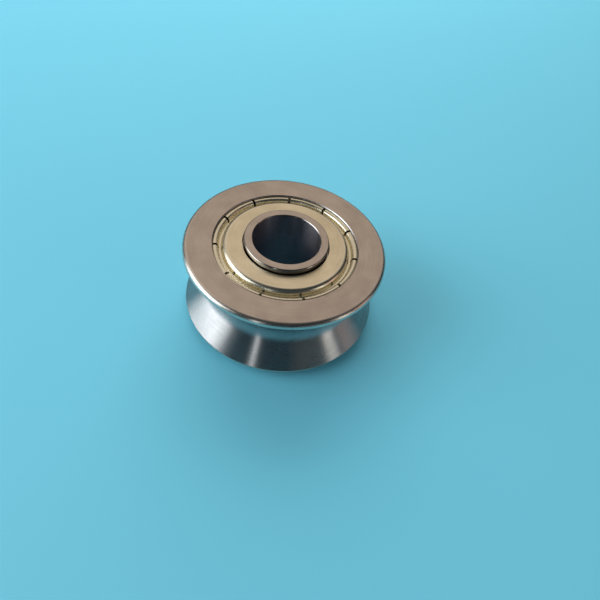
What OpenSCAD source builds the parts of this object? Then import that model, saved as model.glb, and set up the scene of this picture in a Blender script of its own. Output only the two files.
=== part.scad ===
// Shielded V-groove track roller: a double-row ball bearing whose thick outer ring carries a
// rounded V groove. All sizes are in millimetres. The origin is the middle of the bearing on
// its axis, and +Z runs along the axis towards the upper shield.

/* [Overall] */
// Outside diameter over the two rims
roller_d = 30; // [29:0.5:40]
// Bore of the inner ring
bore_d = 10; // [8:0.5:12]
// Width of the inner ring, end face to end face
inner_w = 14; // [13.8:0.1:20]
// How far each end of the inner ring stands out of the outer ring's face
collar_stand = 1; // [0.6:0.1:1.1]

/* [V groove] */
// Width of the groove's mouth at the outside diameter
groove_w = 10.4; // [8:0.1:10.5]
// Included angle between the two flanks
groove_angle = 105; // [90:1:125]
// Radius that rounds the bottom of the groove
groove_root = 3; // [1:0.1:4]
// Radius that rounds each rim's outer corner
rim_corner = 0.65; // [0.2:0.05:0.7]

/* [Rings] */
// Wall of the inner ring between its bore and the bottom of a raceway
inner_race_wall = 1.4; // [1.1:0.05:2]
// Wall of the inner ring's collars at its two ends
collar_wall = 1.25; // [1.1:0.05:1.7]
// Length of each collar, from the end face in to the shoulder
collar_l = 1.7; // [1.5:0.05:2]
// Chamfer at each mouth of the bore
bore_chamfer = 0.1; // [0.05:0.05:0.4]
// Radius that rounds each collar's outer corner
collar_corner = 0.2; // [0.1:0.05:0.4]
// Radial gap between the two rings' shoulders, where the cages run
shoulder_gap = 2.2; // [1.8:0.1:2.8]

/* [Balls] */
// Diameter of a ball (5/32 inch)
ball_d = 3.969; // [3.2:0.001:4]
// Number of balls in each of the two rows
balls_per_row = 8; // [6:1:9]
// Axial gap between the two rows of balls
row_gap = 0.33; // [0.2:0.01:0.5]
// Raceway radius as a share of the ball's diameter
race_conformity = 0.52; // [0.515:0.005:0.54]
// Radial clearance between a ball and the bottom of each raceway
ball_clearance = 0.02; // [0.01:0.01:0.05]

/* [Cages] */
// Clearance between a ball and its pocket
pocket_clearance = 0.1; // [0.05:0.01:0.15]
// Clearance between a cage and each ring's shoulder
cage_clearance = 0.3; // [0.2:0.05:0.4]
// Wall of the cage behind its pockets
cage_back = 0.45; // [0.35:0.05:0.5]
// How far the claws reach past the ball's middle
claw_reach = 0.95; // [0.7:0.05:1.2]
// Width of the relief slot between two pockets' claws
claw_slot_w = 0.9; // [0.6:0.1:1.1]

/* [Shields] */
// Thickness of the shield's sheet
sheet = 0.3; // [0.25:0.01:0.36]
// Radial gap between the shield's hole and the collar
shield_gap = 0.2; // [0.15:0.05:0.4]
// How far the shield's flat disc stands above the outer ring's face
disc_stand = 0.1; // [0:0.05:0.15]
// Depth of the ledge that the shield's rim sits on, below the outer ring's face
ledge_depth = 1.25; // [1.2:0.05:1.3]
// Slope of the wall between the flat disc and the rim, from the horizontal
wall_slope = 80; // [65:1:80]
// Bend at the edge of the flat disc, measured at mid-sheet
shoulder_bend = 0.65; // [0.5:0.05:0.7]
// Bend at the foot of the wall, measured at mid-sheet
foot_bend = 0.25; // [0.21:0.01:0.27]
// Width of the flat foot between the wall and the bead
foot_flat = 0.22; // [0.05:0.01:0.3]
// Bend of the crimped bead, measured at mid-sheet
bead_bend = 0.35; // [0.32:0.01:0.38]
// Height of the crimped bead above the foot
bead_rise = 0.75; // [0.6:0.05:0.8]
// Slope of the bead's inner side, from the horizontal
bead_slope = 85; // [75:1:85]
// Number of slits that split the bead
slit_count = 11; // [6:1:16]
// Width of a slit
slit_w = 0.4; // [0.2:0.05:0.6]
// Angle from +X to the upper shield's first slit
slit_phase = 27; // [0:1:33]

/* [Shield seats] */
// Radial step from the outer ring's shoulder out to the seat's lip
lip_step = 1.2; // [1:0.05:1.6]
// Depth of the snap groove behind the lip
snap_depth = 0.2; // [0.1:0.05:0.3]
// Chamfer at the mouth of the lip
lip_chamfer = 0.12; // [0.05:0.01:0.15]
// Clearance between the shield's rim and its snap groove
snap_clearance = 0.02; // [0.01:0.01:0.05]

/* [Hidden] */
$fn = 128;
margin = 1;
arc_steps = 6;
root_steps = 20;

// radii of the rings
roller_r = roller_d / 2;
bore_r = bore_d / 2;
ball_r = ball_d / 2;
race_r = race_conformity * ball_d;
collar_r = bore_r + collar_wall;
pitch_r = bore_r + inner_race_wall + ball_clearance + ball_r;
inner_shoulder_r = pitch_r - shoulder_gap / 2;
outer_shoulder_r = pitch_r + shoulder_gap / 2;
// a raceway's circle is set so that its bottom clears the ball by ball_clearance
inner_race_centre_r = pitch_r - ball_r - ball_clearance + race_r;
outer_race_centre_r = pitch_r + ball_r + ball_clearance - race_r;
row_z = ball_r + row_gap / 2;

// widths
inner_half_w = inner_w / 2;
outer_half_w = inner_half_w - collar_stand;

// V groove: the flanks leave the mouth at flank_tilt from the radial direction
flank_tilt = 90 - groove_angle / 2;
vertex_r = roller_r - groove_w / 2 / tan(groove_angle / 2);
root_centre_r = vertex_r + groove_root / sin(groove_angle / 2);

// shield seat in the outer ring
lip_r = outer_shoulder_r + lip_step;
snap_r = lip_r + snap_depth;
ledge_z = outer_half_w - ledge_depth;

// shield, from its rim inwards; heights are at mid-sheet
bead_r = snap_r - snap_clearance - bead_bend - sheet / 2;
disc_z = outer_half_w + disc_stand - sheet / 2;
foot_z = ledge_z + sheet / 2;
bead_wall = bead_rise - (bead_bend + foot_bend) * (1 - cos(bead_slope));
foot_outer_r = bead_r - (bead_bend + foot_bend) * sin(bead_slope) - bead_wall / tan(bead_slope);
foot_inner_r = foot_outer_r - foot_flat;
wall_drop = disc_z - foot_z - (shoulder_bend + foot_bend) * (1 - cos(wall_slope));
disc_edge_r = foot_inner_r - (shoulder_bend + foot_bend) * sin(wall_slope) - wall_drop / tan(wall_slope);
shield_hole_r = collar_r + shield_gap;
// the lip starts just above the place where the bead passes under it
lip_under_z = foot_z + bead_rise - bead_bend + snap_clearance
    + sqrt(pow(bead_bend + sheet / 2, 2) - pow(lip_r - bead_r, 2));

// cages
pocket_r = ball_r + pocket_clearance;
cage_inner_r = inner_shoulder_r + cage_clearance;
cage_outer_r = outer_shoulder_r - cage_clearance;
ball_step = 360 / balls_per_row;

// Points along an arc about centre c, from one angle to another
function arc(c, r, from, to, steps) =
    [for (i = [0 : steps]) c + r * [cos(from + (to - from) * i / steps), sin(from + (to - from) * i / steps)]];

// The same points run backwards
function reversed(line) = [for (i = [len(line) - 1 : -1 : 0]) line[i]];

// The same points mirrored to the other side of the middle plane
function below(line) = [for (p = line) [p[0], -p[1]]];

// The two raceways' circles, cut from a ring's section
module raceways(centre_r) {
    for (side = [-1, 1])
        translate([centre_r, side * row_z]) circle(r = race_r);
}

// Inner ring: ground bore, two collars, two shoulders and the inner raceways
module inner_ring() {
    half = concat(
        [[inner_shoulder_r, inner_half_w - collar_l], [collar_r, inner_half_w - collar_l]],
        arc([collar_r - collar_corner, inner_half_w - collar_corner], collar_corner, 0, 90, arc_steps),
        [[bore_r + bore_chamfer, inner_half_w], [bore_r, inner_half_w - bore_chamfer]]
    );
    color("silver") rotate_extrude() difference() {
        polygon(concat(half, reversed(below(half))));
        raceways(inner_race_centre_r);
    }
}

// Outer ring: V groove and rims outside, raceways and the two shield seats inside
module outer_ring() {
    rim = concat(
        arc([root_centre_r, 0], groove_root, 180, 180 - flank_tilt, root_steps),
        [[roller_r, groove_w / 2]],
        arc([roller_r - rim_corner, outer_half_w - rim_corner], rim_corner, 0, 90, arc_steps)
    );
    seat = [
        [lip_r + lip_chamfer, outer_half_w], [lip_r, outer_half_w - lip_chamfer],
        [lip_r, lip_under_z], [snap_r, lip_under_z],
        [snap_r, ledge_z], [outer_shoulder_r, ledge_z]
    ];
    half = concat(rim, seat);
    color("rosybrown") rotate_extrude() difference() {
        polygon(concat(half, reversed(below(half))));
        raceways(outer_race_centre_r);
    }
}

// One side of the bent sheet, offset from mid-sheet; positive is the outside
function shield_line(offset) = concat(
    [[shield_hole_r, disc_z + offset]],
    arc([disc_edge_r, disc_z - shoulder_bend], shoulder_bend + offset, 90, 90 - wall_slope, arc_steps),
    arc([foot_inner_r, foot_z + foot_bend], foot_bend - offset, 270 - wall_slope, 270, arc_steps / 2),
    arc([foot_outer_r, foot_z + foot_bend], foot_bend - offset, 270, 270 + bead_slope, arc_steps / 2),
    arc([bead_r, foot_z + bead_rise - bead_bend], bead_bend + offset, 90 + bead_slope, 0, 2 * arc_steps),
    [[bead_r + bead_bend + offset, ledge_z]]
);

// Pressed sheet shield: a raised disc and a crimped bead that slits split into segments
module shield(phase) {
    difference() {
        rotate_extrude() polygon(concat(shield_line(sheet / 2), reversed(shield_line(-sheet / 2))));
        for (i = [0 : slit_count - 1])
            rotate(phase + i * 360 / slit_count)
                translate([foot_outer_r, -slit_w / 2, ledge_z - margin])
                    cube([snap_r - foot_outer_r + margin, slit_w, ledge_depth + 2 * margin]);
    }
}

module shield_upper() {
    color("tan") shield(slit_phase);
}

module shield_lower() {
    color("tan") mirror([0, 0, 1]) shield(slit_phase);
}

// Where ball i of a row stands, with the row turned by phase
function ball_place(i, phase) =
    [pitch_r * cos(phase + i * ball_step), pitch_r * sin(phase + i * ball_step), row_z];

// Crown cage for the upper row: a ring behind the balls, with claws that snap over them
module cage(phase) {
    tip_z = row_z - claw_reach;
    back_z = row_z + pocket_r + cage_back;
    difference() {
        translate([0, 0, tip_z]) cylinder(r = cage_outer_r, h = back_z - tip_z);
        translate([0, 0, tip_z - margin]) cylinder(r = cage_inner_r, h = back_z - tip_z + 2 * margin);
        for (i = [0 : balls_per_row - 1]) {
            translate(ball_place(i, phase)) sphere(r = pocket_r);
            rotate(phase + (i + 0.5) * ball_step)
                translate([cage_inner_r - margin, -claw_slot_w / 2, tip_z - margin])
                    cube([cage_outer_r - cage_inner_r + 2 * margin, claw_slot_w, claw_reach + margin]);
        }
    }
}

module cage_upper() {
    color("olivedrab") cage(0);
}

module cage_lower() {
    color("olivedrab") mirror([0, 0, 1]) cage(ball_step / 2);
}

// Ball i, counted from 1, of the upper row or of the lower row, which stands half a step round
module ball_upper(i) {
    color("gainsboro") translate(ball_place(i - 1, 0)) sphere(r = ball_r);
}

module ball_lower(i) {
    color("gainsboro") mirror([0, 0, 1]) translate(ball_place(i - 1, ball_step / 2)) sphere(r = ball_r);
}

inner_ring();
outer_ring();
shield_upper();
shield_lower();
cage_upper();
cage_lower();
for (i = [1 : balls_per_row]) {
    ball_upper(i);
    ball_lower(i);
}
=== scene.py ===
import math
import bpy
import numpy as np
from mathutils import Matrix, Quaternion, Vector


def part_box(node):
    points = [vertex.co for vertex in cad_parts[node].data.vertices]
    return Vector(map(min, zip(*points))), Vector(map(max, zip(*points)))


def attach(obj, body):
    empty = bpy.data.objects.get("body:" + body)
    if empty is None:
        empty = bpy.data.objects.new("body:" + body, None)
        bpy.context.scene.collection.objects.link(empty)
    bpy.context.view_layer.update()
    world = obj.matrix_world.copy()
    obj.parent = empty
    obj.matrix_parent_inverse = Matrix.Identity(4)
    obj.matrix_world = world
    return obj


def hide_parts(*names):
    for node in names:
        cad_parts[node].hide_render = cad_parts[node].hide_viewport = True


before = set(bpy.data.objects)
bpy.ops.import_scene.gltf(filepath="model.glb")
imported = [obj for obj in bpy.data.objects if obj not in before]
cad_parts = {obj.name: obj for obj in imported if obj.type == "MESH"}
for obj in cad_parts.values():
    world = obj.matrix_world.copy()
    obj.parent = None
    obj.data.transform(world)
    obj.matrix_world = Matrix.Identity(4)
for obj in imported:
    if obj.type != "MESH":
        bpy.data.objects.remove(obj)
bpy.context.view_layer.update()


# ---- Camera ----
# A hand-held view from the front, 79 mm from the roller's middle and 48 degrees above it, with the
# roller a little above the middle of the picture and the camera turned slightly about its own axis.

mm = 0.001
camera_place = Vector((0, -53.24 * mm, 58.50 * mm))
camera_aim = Vector((3.19 * mm, -5.40 * mm, 0))
camera_roll = math.radians(10.75)
camera_lens = 30.33

camera = bpy.data.objects.new("camera", bpy.data.cameras.new("camera"))
bpy.context.scene.collection.objects.link(camera)
camera.data.sensor_width = 36
camera.data.lens = camera_lens
camera.data.clip_start = 5 * mm
camera.location = camera_place
camera.rotation_mode = "QUATERNION"
level = (camera_aim - camera_place).to_track_quat("-Z", "Y")
camera.rotation_quaternion = level @ Quaternion((0, 0, 1), camera_roll)
bpy.context.scene.camera = camera
bpy.context.scene.view_settings.view_transform = "Standard"


# ---- Studio ----
# Soft lights round a pale floor: a broad window and a narrow strip on the left, a cream panel and two dim
# warm walls on the right, and a warm canopy behind. A fill light that no reflection shows lifts the floor.
# The side where the viewer stands is dark, which gives polished steel its dark bands.

def add_light(name, azimuth, elevation, distance, width, height, radiance, colour, soft=0.0):
    """A rectangular light that faces the origin from a direction given by two angles in degrees. Its power is
    its radiance times pi times its area. Where soft is above 0, four lights share the radiance. Each stands a
    hundredth of the distance behind the one before, since lights in one plane hide each other, and their
    sizes spread from 1 - soft to 1 + soft times the given one, so that polished steel shows faded edges."""
    turn, rise = math.radians(azimuth), math.radians(elevation)
    away = Vector((math.cos(turn) * math.cos(rise), math.sin(turn) * math.cos(rise), math.sin(rise)))
    sizes = (1 - soft, 1 - soft / 3, 1 + soft / 3, 1 + soft) if soft else (1,)
    step_back = 0.01
    for number, grow in enumerate(sizes):
        lamp = bpy.data.lights.new(name + "_" + str(number), "AREA")
        lamp.shape = "RECTANGLE"
        lamp.size, lamp.size_y = width * grow, height * grow
        lamp.energy = radiance / len(sizes) * math.pi * lamp.size * lamp.size_y
        lamp.color = colour
        light = bpy.data.objects.new(lamp.name, lamp)
        bpy.context.scene.collection.objects.link(light)
        light.location = distance * (1 + step_back * number) * away
        light.rotation_euler = (-away).to_track_quat("-Z", "Y").to_euler()
        light.visible_camera = False
    return light


add_light("window", 190, 22, 0.6, 0.50, 0.48, 4.0, (0.93, 0.97, 1.0), 0.35)
add_light("strip", 252, 20, 0.6, 0.035, 0.34, 2.8, (0.95, 0.98, 1.0), 0.7)
add_light("cream_panel", 336, 16, 0.6, 0.10, 0.26, 2.2, (1.0, 0.93, 0.84), 0.7)
add_light("brown_wall", 315, 14, 0.8, 0.55, 0.22, 0.14, (1.0, 0.72, 0.55), 0.4)
add_light("red_wall", 358, 16, 0.8, 0.26, 0.3, 1.0, (1.0, 0.62, 0.48), 0.5)
add_light("canopy", 106, 48, 0.7, 1.2, 0.66, 0.66, (1.0, 0.85, 0.72), 0.4)
floor_fill = add_light("floor_fill", 98, 33, 0.38, 0.4, 0.24, 2.6, (1.0, 1.0, 1.0))
floor_fill.visible_glossy = False

# The camera sees the backdrop in full and the floor gets a share of its light. Reflections see the dark
# surround instead.
world = bpy.data.worlds.new("studio")
world.use_nodes = True
bpy.context.scene.world = world
world_nodes, world_links = world.node_tree.nodes, world.node_tree.links
surround = world_nodes["Background"]
surround.inputs["Color"].default_value = (0.10, 0.12, 0.14, 1)
surround.inputs["Strength"].default_value = 0.3
backdrop = world_nodes.new("ShaderNodeBackground")
backdrop.inputs["Color"].default_value = (0.60, 0.74, 0.80, 1)
ray = world_nodes.new("ShaderNodeLightPath")
backdrop_share = world_nodes.new("ShaderNodeMapRange")
backdrop_share.inputs["To Min"].default_value = 0.2
world_links.new(ray.outputs["Is Camera Ray"], backdrop_share.inputs["Value"])
world_links.new(backdrop_share.outputs["Result"], backdrop.inputs["Strength"])
choice = world_nodes.new("ShaderNodeMixShader")
world_links.new(ray.outputs["Is Glossy Ray"], choice.inputs["Fac"])
world_links.new(backdrop.outputs["Background"], choice.inputs[1])
world_links.new(surround.outputs["Background"], choice.inputs[2])
world_links.new(choice.outputs["Shader"], world_nodes["World Output"].inputs["Surface"])

floor_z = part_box("inner_ring")[0].z
floor_reach = 3.0
floor_mesh = bpy.data.meshes.new("floor")
corner_signs = ((-1, -1), (1, -1), (1, 1), (-1, 1))
floor_corners = [(x * floor_reach, y * floor_reach, floor_z) for x, y in corner_signs]
floor_mesh.from_pydata(floor_corners, [], [(0, 1, 2, 3)])
floor = bpy.data.objects.new("floor", floor_mesh)
bpy.context.scene.collection.objects.link(floor)
floor_card = bpy.data.materials.new("pale_card")
floor_card.use_nodes = True
card = floor_card.node_tree.nodes["Principled BSDF"]
card.inputs["Base Color"].default_value = (0.20, 0.70, 0.90, 1)
card.inputs["Roughness"].default_value = 0.6
card.inputs["Specular IOR Level"].default_value = 0.3
floor_mesh.materials.append(floor_card)


# ---- Outer ring ----
# One thick ring of hardened bearing steel, turned and then ground. Its two end faces are ground matte,
# its rims are rounded, and a V groove with a rounded bottom runs round it, ground along its length to a
# near mirror. Inside it has two raceways, and at each end a seat that the shield is crimped into.

ring_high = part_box("outer_ring")[1]
rim_r = ring_high.x
ring_half_w = ring_high.z
groove_w = 10.4 * mm
groove_half_angle = math.radians(105 / 2)
groove_root = 3 * mm
groove_edge = 0.1 * mm
rim_corner = 0.65 * mm

ball_low, ball_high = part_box("ball_upper_1")
ball_r = (ball_high.z - ball_low.z) / 2
row_z = (ball_high.z + ball_low.z) / 2
pitch_r = (ball_high.x + ball_low.x) / 2
race_r_over_ball_d = 0.52
race_r = race_r_over_ball_d * 2 * ball_r
ball_clearance = 0.02 * mm
shoulder_gap = 2.2 * mm
outer_shoulder_r = pitch_r + shoulder_gap / 2
outer_race_centre_r = pitch_r + ball_r + ball_clearance - race_r

sheet = 0.3 * mm
snap_clearance = 0.02 * mm
bead_bend = 0.35 * mm
bead_rise = 0.75 * mm
lip_r = outer_shoulder_r + 1.2 * mm
lip_chamfer = 0.12 * mm
snap_r = lip_r + 0.2 * mm
ledge_z = ring_half_w - 1.25 * mm
bead_r = snap_r - snap_clearance - bead_bend - sheet / 2
bead_centre_z = ledge_z + sheet / 2 + bead_rise - bead_bend
lip_under_z = bead_centre_z + snap_clearance + math.sqrt((bead_bend + sheet / 2)**2 - (lip_r - bead_r)**2)
edge_break = 0.03 * mm
on_face_within = 0.01 * mm


def unit(vectors):
    """Vectors divided by their lengths."""
    return vectors / np.linalg.norm(vectors, axis=-1, keepdims=True)


def rounded(corners, steps=6, hold=0.02 * mm):
    """Points of an open section line (r, z) whose inner corners (r, z, fillet) are arcs.
    An arc touches both sides at fillet / tan(half the corner's angle) from the corner, about a centre at
    fillet / sin(half the angle) along the corner's bisector, and its points are the two touching radii mixed
    by sin((1 - t) turn) and sin(t turn) over sin(turn). A point a hold's length before and after each arc
    keeps the shading of the straight runs flat."""
    line = np.array([corner[:2] for corner in corners])
    fillet = np.array([corner[2] for corner in corners[1:-1]])[:, None]
    here = line[1:-1]
    back, on = unit(line[:-2] - here), unit(line[2:] - here)
    half = np.arccos(np.sum(back * on, 1, keepdims=True)) / 2
    reach = fillet / np.tan(half)
    centre = here + unit(back + on) * fillet / np.sin(half)
    first, last = here + back * reach - centre, here + on * reach - centre
    turn = (np.pi - 2 * half)[:, None]
    t = np.linspace(0, 1, steps + 1)[None, :, None]
    mixed = np.sin((1 - t) * turn) * first[:, None] + np.sin(t * turn) * last[:, None]
    arcs = centre[:, None] + mixed / np.sin(turn)
    before = (here + back * (reach + hold))[:, None]
    after = (here + on * (reach + hold))[:, None]
    inner = np.concatenate([before, arcs, after], 1).reshape(-1, 2)
    return np.concatenate([line[:1], inner, line[-1:]])


def arc(centre, radius, start, stop, steps):
    """Points at one distance from a centre (r, z), from one angle to another in degrees, ends included."""
    angle = np.radians(np.linspace(start, stop, steps + 1))
    return np.array(centre) + radius * np.stack([np.cos(angle), np.sin(angle)], 1)


def closed_by_mirror(half):
    """A closed section line: the upper half, then its mirror image in the middle plane run backwards."""
    return np.concatenate([half, half[::-1] * (1, -1)])


def piece(name, places, faces, sharp=40):
    """A mesh object at the origin from arrays of places and four-cornered faces, shaded smooth except across
    edges that turn more than the sharp angle, in degrees."""
    mesh = bpy.data.meshes.new(name)
    mesh.vertices.add(len(places))
    mesh.vertices.foreach_set("co", places.astype(np.float32).ravel())
    mesh.loops.add(faces.size)
    mesh.loops.foreach_set("vertex_index", faces.astype(np.int32).ravel())
    mesh.polygons.add(len(faces))
    mesh.polygons.foreach_set("loop_start", np.arange(0, faces.size, 4, dtype=np.int32))
    mesh.update(calc_edges=True)
    mesh.polygons.foreach_set("use_smooth", np.ones(len(faces), bool))
    mesh.set_sharp_from_angle(angle=math.radians(sharp))
    made = bpy.data.objects.new(name, mesh)
    bpy.context.scene.collection.objects.link(made)
    return made


def revolved(name, line, around):
    """The surface that a closed section line (r, z) makes when it turns about Z: a point becomes the circle
    (r cos a, r sin a, z) with around places in it, and neighbouring circles are joined by faces.
    A line that runs counter-clockwise, up on its outer side, gives faces that point outwards."""
    angle = np.linspace(0, 2 * np.pi, around, endpoint=False)
    r, z = line[:, :1], line[:, 1:]
    places = np.stack([r * np.cos(angle), r * np.sin(angle), z + 0 * angle], -1).reshape(-1, 3)
    here = np.arange(len(places)).reshape(len(line), around)
    beside, above = np.roll(here, -1, 1), np.roll(here, -1, 0)
    faces = np.stack([here, beside, np.roll(above, -1, 1), above], -1).reshape(-1, 4)
    return piece(name, places, faces)


def add(tree, kind, inputs=None, **settings):
    """A shader node of that kind. An input is linked where it is given another node's output, and set where
    it is given a value."""
    made = tree.nodes.new("ShaderNode" + kind)
    for name, value in settings.items():
        setattr(made, name, value)
    for name, value in (inputs or {}).items():
        if isinstance(value, bpy.types.NodeSocket):
            tree.links.new(value, made.inputs[name])
        else:
            made.inputs[name].default_value = value
    return made


def ground_steel(name, light, dark, smooth, rough, lines, depth, stretch=0.0):
    """Steel with grinding lines that run round the axis. The lines are noise over the unit direction from the
    axis, which changes slowly, and over radius and height, which change fast: lines is their number per
    millimetre and depth their height. Softer clouds of oil film and handling mix the two colours and the two
    roughnesses. A stretch above 0 draws reflections out across the lines."""
    waves_round, height_weight = 2.2, 2.3
    cloud_waves = 0.28 / mm
    line_share = 0.4
    material = bpy.data.materials.new(name)
    material.use_nodes = True
    tree = material.node_tree
    shader = tree.nodes["Principled BSDF"]
    place = add(tree, "TexCoord").outputs["Object"]
    flat = add(tree, "VectorMath", {0: place, 1: (1, 1, 0)}, operation="MULTIPLY").outputs["Vector"]
    facing = add(tree, "VectorMath", {0: flat}, operation="NORMALIZE").outputs["Vector"]
    radius = add(tree, "VectorMath", {0: flat}, operation="LENGTH").outputs["Value"]
    height = add(tree, "SeparateXYZ", {0: place}).outputs["Z"]
    run = add(tree, "Math", {0: height, 1: height_weight, 2: radius}, operation="MULTIPLY_ADD").outputs[0]
    across = add(tree, "Math", {0: run, 1: lines / mm}, operation="MULTIPLY").outputs[0]
    lift = add(tree, "CombineXYZ", {"Z": across}).outputs[0]
    lay = add(tree, "VectorMath", {0: facing, 1: [waves_round] * 3, 2: lift}, operation="MULTIPLY_ADD")
    line_noise = add(tree, "TexNoise", {
        "Vector": lay.outputs["Vector"], "Scale": 1.0, "Detail": 3.0, "Roughness": 0.65}).outputs["Fac"]
    cloud = add(tree, "TexNoise", {
        "Vector": place, "Scale": cloud_waves, "Detail": 4.0, "Roughness": 0.6}).outputs["Fac"]
    mixed = add(tree, "Mix", {0: line_share, 2: cloud, 3: line_noise}).outputs[0]
    share = add(tree, "MapRange", {"Value": mixed, "From Min": 0.35, "From Max": 0.65}).outputs[0]
    colour = add(tree, "Mix", {0: share, 6: (*dark, 1), 7: (*light, 1)}, data_type="RGBA").outputs[2]
    tree.links.new(colour, shader.inputs["Base Color"])
    sheen = add(tree, "MapRange", {"Value": share, "To Min": rough, "To Max": smooth}).outputs[0]
    tree.links.new(sheen, shader.inputs["Roughness"])
    bump = add(tree, "Bump", {"Height": line_noise, "Distance": depth, "Strength": 1.0})
    tree.links.new(bump.outputs[0], shader.inputs["Normal"])
    shader.inputs["Metallic"].default_value = 1.0
    if stretch:
        shader.inputs["Anisotropic"].default_value = stretch
        shader.inputs["Anisotropic Rotation"].default_value = 0.25
        tangent = add(tree, "Tangent", direction_type="RADIAL", axis="Z").outputs[0]
        tree.links.new(tangent, shader.inputs["Tangent"])
    return material


def finish_where(made, finishes):
    """Gives each face the last finish whose test, on the face's middle as (radius, height), is true."""
    mesh = made.data
    middle = np.empty(len(mesh.polygons) * 3, np.float32)
    mesh.polygons.foreach_get("center", middle)
    middle = middle.reshape(-1, 3)
    radius, height = np.hypot(middle[:, 0], middle[:, 1]), middle[:, 2]
    chosen = np.zeros(len(mesh.polygons), np.int32)
    for number, (material, test) in enumerate(finishes):
        mesh.materials.append(material)
        chosen[test(radius, height)] = number
    mesh.polygons.foreach_set("material_index", chosen)


vertex_r = rim_r - groove_w / 2 / math.tan(groove_half_angle)
root_centre_r = vertex_r + groove_root / math.sin(groove_half_angle)
root_reach_z = groove_root * math.cos(groove_half_angle)
flank_top_run = 0.4 * mm
flank_stop_z = groove_w / 2 - flank_top_run
groove_z = np.linspace(0, flank_stop_z, 48)
root_side = root_centre_r - np.sqrt(np.maximum(groove_root**2 - groove_z**2, 0))
flank_side = vertex_r + groove_z / math.tan(groove_half_angle)
groove_line = np.stack([np.where(groove_z < root_reach_z, root_side, flank_side), groove_z], 1)

rim_line = rounded([
    (flank_side[-1], flank_stop_z),
    (rim_r, groove_w / 2, groove_edge),
    (rim_r, ring_half_w, rim_corner),
    (lip_r + lip_chamfer, ring_half_w, edge_break),
    (lip_r, ring_half_w - lip_chamfer, edge_break),
    (lip_r, lip_under_z, edge_break),
    (snap_r, lip_under_z, edge_break),
    (snap_r, ledge_z, edge_break),
    (outer_shoulder_r, ledge_z, edge_break),
    (outer_shoulder_r, row_z),
])
race_half_angle = math.degrees(math.acos((outer_shoulder_r - outer_race_centre_r) / race_r))
outer_race = arc((outer_race_centre_r, row_z), race_r, race_half_angle, -race_half_angle, 24)
outer_line = closed_by_mirror(np.concatenate([groove_line[1:], rim_line[1:-1], outer_race]))

outer_ring = revolved("outer_ring_steel", outer_line, 320)
face_steel = ground_steel(
    "face_steel", (0.62, 0.545, 0.48), (0.53, 0.46, 0.405), 0.34, 0.44, 7, 0.0006 * mm)
rim_steel = ground_steel(
    "rim_steel", (0.66, 0.61, 0.56), (0.56, 0.52, 0.48), 0.24, 0.3, 6, 0.0001 * mm, 0.7)
groove_steel = ground_steel(
    "groove_steel", (0.41, 0.40, 0.40), (0.34, 0.34, 0.34), 0.24, 0.29, 6, 0.00005 * mm, 0.92)
inside_steel = ground_steel(
    "inside_steel", (0.58, 0.57, 0.55), (0.46, 0.45, 0.43), 0.2, 0.34, 5, 0.0008 * mm)
finish_where(outer_ring, [
    (inside_steel, lambda r, z: r > 0),
    (face_steel, lambda r, z: abs(z) > ring_half_w - on_face_within),
    (rim_steel, lambda r, z: (r > rim_r - rim_corner) & (abs(z) > groove_w / 2)),
    (groove_steel, lambda r, z: (r > root_centre_r - groove_root - on_face_within) & (abs(z) < groove_w / 2)),
])
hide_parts("outer_ring")
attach(outer_ring, "outer_ring")


# ---- Inner ring ----
# A hardened steel sleeve, ground in its bore and on its end faces. A collar at each end stands out of the
# outer ring, and between the collars two shoulders hold the two raceways. A bolt or pin clamps it.

inner_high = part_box("inner_ring")[1]
inner_half_w = inner_high.z
bore_r = 5 * mm
bore_chamfer = 0.1 * mm
collar_r = bore_r + 1.25 * mm
collar_l = 1.7 * mm
collar_corner = 0.2 * mm
bore_middle_z = 0.5 * mm
inner_shoulder_r = inner_high.x
inner_race_centre_r = pitch_r - ball_r - ball_clearance + race_r

inner_race_half = math.degrees(math.acos((inner_race_centre_r - inner_shoulder_r) / race_r))
inner_race = arc((inner_race_centre_r, row_z), race_r, 180 + inner_race_half, 180 - inner_race_half, 24)
collar_line = rounded([
    (inner_shoulder_r, row_z),
    (inner_shoulder_r, inner_half_w - collar_l, edge_break),
    (collar_r, inner_half_w - collar_l, edge_break),
    (collar_r, inner_half_w, collar_corner),
    (bore_r + bore_chamfer, inner_half_w, edge_break),
    (bore_r, inner_half_w - bore_chamfer, edge_break),
    (bore_r, bore_middle_z),
])
inner_line = closed_by_mirror(np.concatenate([inner_race, collar_line[1:]]))
inner_ring = revolved("inner_ring_steel", inner_line, 256)
# The collar steel's colour is painted darker than the face steel: a painted dark reflection of the surround.
collar_steel_painted_dark = ground_steel(
    "collar_steel_painted_dark", (0.46, 0.43, 0.41), (0.36, 0.34, 0.32), 0.12, 0.18, 6, 0.0001 * mm)
# The bore's lavender tint is a painted reflection of the light that its walls reflect.
bore_steel_painted_lavender = ground_steel(
    "bore_steel_painted_lavender", (0.56, 0.54, 0.60), (0.44, 0.43, 0.47), 0.27, 0.33, 5, 0.0003 * mm, 0.9)
finish_where(inner_ring, [
    (collar_steel_painted_dark, lambda r, z: r > 0),
    (face_steel, lambda r, z: abs(z) > inner_half_w - on_face_within),
    (bore_steel_painted_lavender, lambda r, z: r < bore_r + on_face_within),
])
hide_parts("inner_ring")
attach(inner_ring, "inner_ring")


# ---- Shields ----
# Two cups pressed from thin sheet and plated pale yellow. A raised satin disc runs round the collar, its wall
# drops to a foot, and the rim curls into a bead that snaps under the outer ring's lip. Slits split the bead
# so that it can spring, and the press leaves the bends brighter than the disc. The disc's copy of the plating
# is painted a deeper yellow than the bends: a painted warm reflection of the canopy.

shield_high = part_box("shield_upper")[1]
shield_gap = 0.2 * mm
shield_hole_r = collar_r + shield_gap
disc_z = shield_high.z - sheet / 2
foot_z = ledge_z + sheet / 2
shoulder_bend = 0.65 * mm
foot_bend = 0.25 * mm
foot_flat = 0.22 * mm
disc_hold = 0.05 * mm
wall_slope = 80
bead_slope = 85
slit_count = 11
slit_w = 0.4 * mm
slit_phase = math.radians(27)

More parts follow.
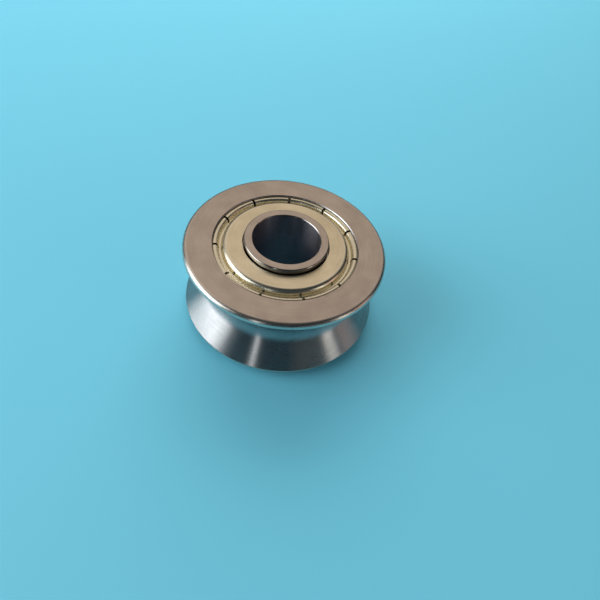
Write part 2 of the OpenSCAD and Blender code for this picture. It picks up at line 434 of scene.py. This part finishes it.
bead_sin, bead_cos = math.sin(math.radians(bead_slope)), math.cos(math.radians(bead_slope))
bead_wall = bead_rise - (bead_bend + foot_bend) * (1 - bead_cos)
foot_outer_r = bead_r - (bead_bend + foot_bend) * bead_sin - bead_wall * bead_cos / bead_sin
foot_inner_r = foot_outer_r - foot_flat
wall_sin, wall_cos = math.sin(math.radians(wall_slope)), math.cos(math.radians(wall_slope))
wall_drop = disc_z - foot_z - (shoulder_bend + foot_bend) * (1 - wall_cos)
disc_edge_r = foot_inner_r - (shoulder_bend + foot_bend) * wall_sin - wall_drop * wall_cos / wall_sin


def shield_line(offset):
    """One side of the bent sheet at an offset from mid-sheet, from the hole out to the rim: straight runs
    joined by arcs whose radii grow or shrink by the offset. The disc's last point stops a hold's length
    before the bend, which keeps its shading flat. Also the number of points before the bead."""
    disc = np.linspace((shield_hole_r, disc_z + offset), (disc_edge_r - disc_hold, disc_z + offset), 6)
    shoulder = arc((disc_edge_r, disc_z - shoulder_bend), shoulder_bend + offset, 90, 90 - wall_slope, 12)
    foot_in = arc((foot_inner_r, foot_z + foot_bend), foot_bend - offset, 270 - wall_slope, 270, 6)
    foot_out = arc((foot_outer_r, foot_z + foot_bend), foot_bend - offset, 270, 270 + bead_slope, 5)
    bead = arc((bead_r, bead_centre_z), bead_bend + offset, 90 + bead_slope, 0, 20)
    end = np.array([[bead_r + bead_bend + offset, ledge_z]])
    inner = np.concatenate([disc, shoulder, foot_in])
    return np.concatenate([inner, foot_out, bead, end]), len(inner)


def pressed_shield(name, side):
    """The sheet's outer and inner lines turned about Z. In each of the bead's segments the columns run from
    one slit's edge to the next, at the angle asin(half the slit's width / radius) from the slit's middle, so
    the slits have parallel sides. Faces over the slits are left out, and walls join the two sides of the
    sheet wherever a face ends. side is 1 for the upper shield and -1 for the lower."""
    (outside, bead_start), (inside, _) = shield_line(sheet / 2), shield_line(-sheet / 2)
    line = np.stack([outside, inside])
    period = 2 * np.pi / slit_count
    columns = 30
    across = np.linspace(0, 1, columns)
    reach = np.arcsin(slit_w / 2 / line[..., :1])
    inner_angle = reach + (period - 2 * reach) * across
    angle = slit_phase + inner_angle[..., None, :] + period * np.arange(slit_count)[:, None]
    angle = angle.reshape(2, len(outside), -1)
    r, z = line[..., :1], line[..., 1:]
    places = np.stack([r * np.cos(angle), r * np.sin(angle), side * z + 0 * angle], -1)
    top, under = np.arange(angle.size).reshape(angle.shape)
    top_on, under_on = np.roll(top, -1, 1), np.roll(under, -1, 1)
    is_slit = np.arange(top.shape[1]) % columns == columns - 1
    kept = np.ones((len(outside) - 1, top.shape[1]), bool)
    kept[bead_start:, is_slit] = False

    def quads(*corners):
        """Faces from arrays that hold their first, second, third and fourth corners."""
        return np.stack(corners, -1).reshape(-1, 4)

    walled = np.tile(is_slit, len(outside) - 1 - bead_start)
    near, far = slice(bead_start, -1), slice(bead_start + 1, None)
    faces = np.concatenate([
        quads(top[:-1], top[1:], top_on[1:], top_on[:-1])[kept.ravel()],
        quads(under[:-1], under_on[:-1], under_on[1:], under[1:])[kept.ravel()],
        quads(top[0], top_on[0], under_on[0], under[0]),
        quads(top_on[-1], top[-1], under[-1], under_on[-1])[~is_slit],
        quads(top_on[bead_start], top[bead_start], under[bead_start], under_on[bead_start])[is_slit],
        quads(top[near], top[far], under[far], under[near])[walled],
        quads(top_on[far], top_on[near], under_on[near], under_on[far])[walled],
    ])
    return piece(name, places.reshape(-1, 3), faces[:, ::side], 50)


# The flat copy's deeper yellow is a painted warm reflection; the plating on the bends is the same metal.
plated_flat_painted_warm = ground_steel(
    "plated_flat_painted_warm", (0.90, 0.82, 0.61), (0.80, 0.71, 0.51), 0.34, 0.44, 3, 0.0004 * mm)
plated_bends = ground_steel(
    "plated_bends", (0.86, 0.82, 0.66), (0.76, 0.71, 0.55), 0.22, 0.3, 3, 0.0003 * mm)
for shield_name, shield_side in (("upper", 1), ("lower", -1)):
    shield = pressed_shield("shield_sheet_" + shield_name, shield_side)
    finish_where(shield, [(plated_flat_painted_warm, lambda r, z: r > 0), (plated_bends, lambda r, z: r > disc_edge_r)])
    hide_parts("shield_" + shield_name)
    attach(shield, "outer_ring")


# ---- Cages ----
# Two crown cages moulded in green polyamide, one for each row. Behind the balls runs a plain ring, and from
# it pairs of claws reach round the balls. The claws snap over the balls as the cage is pushed in, and hold
# them apart.

cage_low, cage_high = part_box("cage_upper")
tip_z, back_z = cage_low.z, cage_high.z
cage_outer_r = cage_high.x
cage_gap = 0.3 * mm
cage_inner_r = inner_shoulder_r + cage_gap
pocket_gap = 0.1 * mm
pocket_r = ball_r + pocket_gap
balls_per_row = 8
ball_step = 2 * math.pi / balls_per_row
claw_slot_w = 0.9 * mm


def crown_cage(name, phase, side):
    """A closed surface over an outline that runs round the cage and a loop that runs round its wall.
    On a cylinder of radius r, a pocket's edge at height z lies at the angle whose cosine is
    (r^2 + p^2 - d^2) / (2 r p) from the ball's middle, where p is the pitch radius and d^2 is the pocket's
    radius squared minus (z - row_z)^2. The outline goes from a relief slot down its side, along the claw's
    tip and up the pocket's edge, and the loop goes out under the wall, up its outside, in along the flat back
    and down its inside. Each outline point has its own place on the back edge, chosen so that no two lines
    cross. side is 1 for the upper cage and -1 for the lower."""
    arch_steps, wall_steps, under_points = 18, 9, 7
    under_r = np.linspace(cage_inner_r, cage_outer_r, under_points)
    top = np.sqrt(pocket_r**2 - (under_r - pitch_r)**2)[:, None]
    low_turn = np.arcsin((tip_z - row_z) / top)
    turn = low_turn + (np.pi / 2 - low_turn) * np.linspace(0, 1, arch_steps + 1)
    arch_z = row_z + top * np.sin(turn)
    squared = pocket_r**2 - (arch_z - row_z)**2
    radius = under_r[:, None]
    arch_cosine = (radius**2 + pitch_r**2 - squared) / (2 * radius * pitch_r)
    arch_angle = ball_step / 2 - np.arccos(np.clip(arch_cosine, -1, 1))
    slot_angle = np.arcsin(claw_slot_w / 2 / radius)
    half_angle = np.concatenate([0 * slot_angle, slot_angle, slot_angle, arch_angle], 1)
    half_z = np.concatenate([row_z + 0 * top, row_z + 0 * top, tip_z + 0 * top, arch_z], 1)
    back_share = np.concatenate([[0, 0.08, 0.128], np.linspace(0.145, 1, arch_steps + 1)])
    half_back = ball_step / 2 * np.broadcast_to(back_share, half_angle.shape)

    def whole(half, flip):
        """Half an outline followed by its flipped other half, run backwards."""
        return np.concatenate([half[:, :-1], flip(half[:, :0:-1])], 1)

    angle = whole(half_angle, lambda values: ball_step - values)
    back_angle = whole(half_back, lambda values: ball_step - values)
    height = whole(half_z, lambda values: values)
    rise = np.linspace(0, 1, wall_steps + 1)[1:, None]
    loop_r = np.concatenate([under_r, np.full(wall_steps, cage_outer_r), np.full(wall_steps, cage_inner_r)])
    outer_angle = angle[-1] + (back_angle[-1] - angle[-1]) * rise
    outer_z = height[-1] + (back_z - height[-1]) * rise
    inner_angle = (angle[0] + (back_angle[0] - angle[0]) * rise)[::-1]
    inner_z = (height[0] + (back_z - height[0]) * rise)[::-1]
    loop_angle = np.concatenate([angle, outer_angle, inner_angle])
    loop_z = np.concatenate([height, outer_z, inner_z])
    pocket = phase - ball_step / 2 + ball_step * np.arange(balls_per_row)[:, None]
    round_angle = (loop_angle[:, None] + pocket).reshape(len(loop_r), -1)
    round_z = np.tile(loop_z, (1, balls_per_row))
    round_r = loop_r[:, None]
    places = np.stack([round_r * np.cos(round_angle), round_r * np.sin(round_angle), side * round_z], -1)
    here = np.arange(round_z.size).reshape(round_z.shape)
    beside, above = np.roll(here, -1, 1), np.roll(here, -1, 0)
    faces = np.stack([here, beside, np.roll(above, -1, 1), above], -1).reshape(-1, 4)
    return piece(name, places.reshape(-1, 3), faces[:, ::side], 35)


def moulded_polyamide(name, body, cloudy):
    """Glass-filled nylon: a slightly cloudy body colour, paler flecks of fibre at the skin, and a fine
    moulded grain that breaks up a soft gloss. Clouds, flecks and grain are noise at 1, 9 and 25 waves a
    millimetre."""
    material = bpy.data.materials.new(name)
    material.use_nodes = True
    tree = material.node_tree
    shader = tree.nodes["Principled BSDF"]
    place = add(tree, "TexCoord").outputs["Object"]
    cloud = add(tree, "TexNoise", {"Vector": place, "Scale": 1 / mm, "Detail": 3.0}).outputs["Fac"]
    fleck = add(tree, "TexNoise", {"Vector": place, "Scale": 9 / mm, "Detail": 2.0}).outputs["Fac"]
    flecks = add(tree, "MapRange", {"Value": fleck, "From Min": 0.58, "From Max": 0.75, "To Max": 0.5})
    shade = add(tree, "Mix", {0: cloud, 6: (*body, 1), 7: (*cloudy, 1)}, data_type="RGBA").outputs[2]
    pale = add(tree, "Mix", {
        0: flecks.outputs[0], 6: shade, 7: (0.55, 0.56, 0.42, 1)}, data_type="RGBA").outputs[2]
    tree.links.new(pale, shader.inputs["Base Color"])
    gloss = add(tree, "MapRange", {"Value": fleck, "To Min": 0.36, "To Max": 0.52}).outputs[0]
    tree.links.new(gloss, shader.inputs["Roughness"])
    grain = add(tree, "TexNoise", {"Vector": place, "Scale": 25 / mm, "Detail": 2.0}).outputs["Fac"]
    bump = add(tree, "Bump", {"Height": grain, "Distance": 0.002 * mm, "Strength": 0.6}).outputs[0]
    tree.links.new(bump, shader.inputs["Normal"])
    return material


cage_polyamide = moulded_polyamide("cage_polyamide", (0.16, 0.20, 0.07), (0.22, 0.25, 0.10))
for cage_name, cage_phase, cage_side in (("cage_upper", 0, 1), ("cage_lower", ball_step / 2, -1)):
    cage = crown_cage(cage_name.replace("cage", "cage_moulding"), cage_phase, cage_side)
    cage.data.materials.append(cage_polyamide)
    edges = cage.modifiers.new("moulded_edges", "BEVEL")
    edges.width = 0.05 * mm
    edges.segments = 2
    edges.limit_method = "ANGLE"
    edges.angle_limit = math.radians(40)
    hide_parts(cage_name)
    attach(cage, cage_name)


# ---- Balls ----
# Sixteen 5/32 inch balls of through-hardened chromium steel, eight in each row, lapped to a mirror. The
# lower row stands half a step round from the upper one. Faint tracks and a film of grease dull the mirror a
# little.

def lapped_ball(name, middle):
    """A sphere made from the six sides of a cube: on each side a grid of two angles from -45 to 45 degrees
    gives the direction (1, tan u, tan v), which is divided by its length. The places that two sides share
    are welded."""
    points_across = 25
    grid = np.tan(np.radians(np.linspace(-45, 45, points_across)))
    u, v = np.meshgrid(grid, grid, indexing="ij")
    one = np.ones_like(u)
    sides = np.stack([np.stack(way, -1) for way in (
        (one, u, v), (-one, v, u), (v, one, u), (u, -one, v), (u, v, one), (v, u, -one))])
    here = np.arange(6 * points_across**2).reshape(6, points_across, points_across)
    corners = here[:, :-1, :-1], here[:, 1:, :-1], here[:, 1:, 1:], here[:, :-1, 1:]
    faces = np.stack(corners, -1).reshape(-1, 4)
    directions = unit(sides.reshape(-1, 3))
    kept, welded = np.unique(np.round(directions, 6), axis=0, return_inverse=True)
    return piece(name, np.array(middle) + ball_r * unit(kept), welded.reshape(-1)[faces])


def lapped_steel(name):
    """Mirror-bright steel. Thin scratches are the valleys of noise drawn out in one direction, and clouds of
    grease change the roughness between 0.05 and 0.16."""
    material = bpy.data.materials.new(name)
    material.use_nodes = True
    tree = material.node_tree
    shader = tree.nodes["Principled BSDF"]
    place = add(tree, "TexCoord").outputs["Object"]
    drawn = add(tree, "VectorMath", {0: place, 1: (0.6 / mm, 5 / mm, 9 / mm)}, operation="MULTIPLY")
    scratch = add(tree, "TexNoise", {
        "Vector": drawn.outputs["Vector"], "Scale": 1.0, "Detail": 3.0}).outputs["Fac"]
    grease = add(tree, "TexNoise", {"Vector": place, "Scale": 0.9 / mm, "Detail": 3.0}).outputs["Fac"]
    colour = add(tree, "Mix", {
        0: grease, 6: (0.66, 0.66, 0.67, 1), 7: (0.80, 0.80, 0.81, 1)}, data_type="RGBA")
    tree.links.new(colour.outputs[2], shader.inputs["Base Color"])
    gloss = add(tree, "MapRange", {
        "Value": grease, "From Min": 0.3, "From Max": 0.7, "To Min": 0.05, "To Max": 0.16})
    tree.links.new(gloss.outputs[0], shader.inputs["Roughness"])
    bump = add(tree, "Bump", {"Height": scratch, "Distance": 0.0002 * mm, "Strength": 0.5}).outputs[0]
    tree.links.new(bump, shader.inputs["Normal"])
    shader.inputs["Metallic"].default_value = 1.0
    return material


ball_steel = lapped_steel("ball_steel")
for row in ("upper", "lower"):
    for number in range(1, balls_per_row + 1):
        node = "ball_" + row + "_" + str(number)
        low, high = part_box(node)
        ball = lapped_ball(node.replace("ball", "ball_lapped"), (low + high) / 2)
        ball.data.materials.append(ball_steel)
        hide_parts(node)
        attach(ball, node)
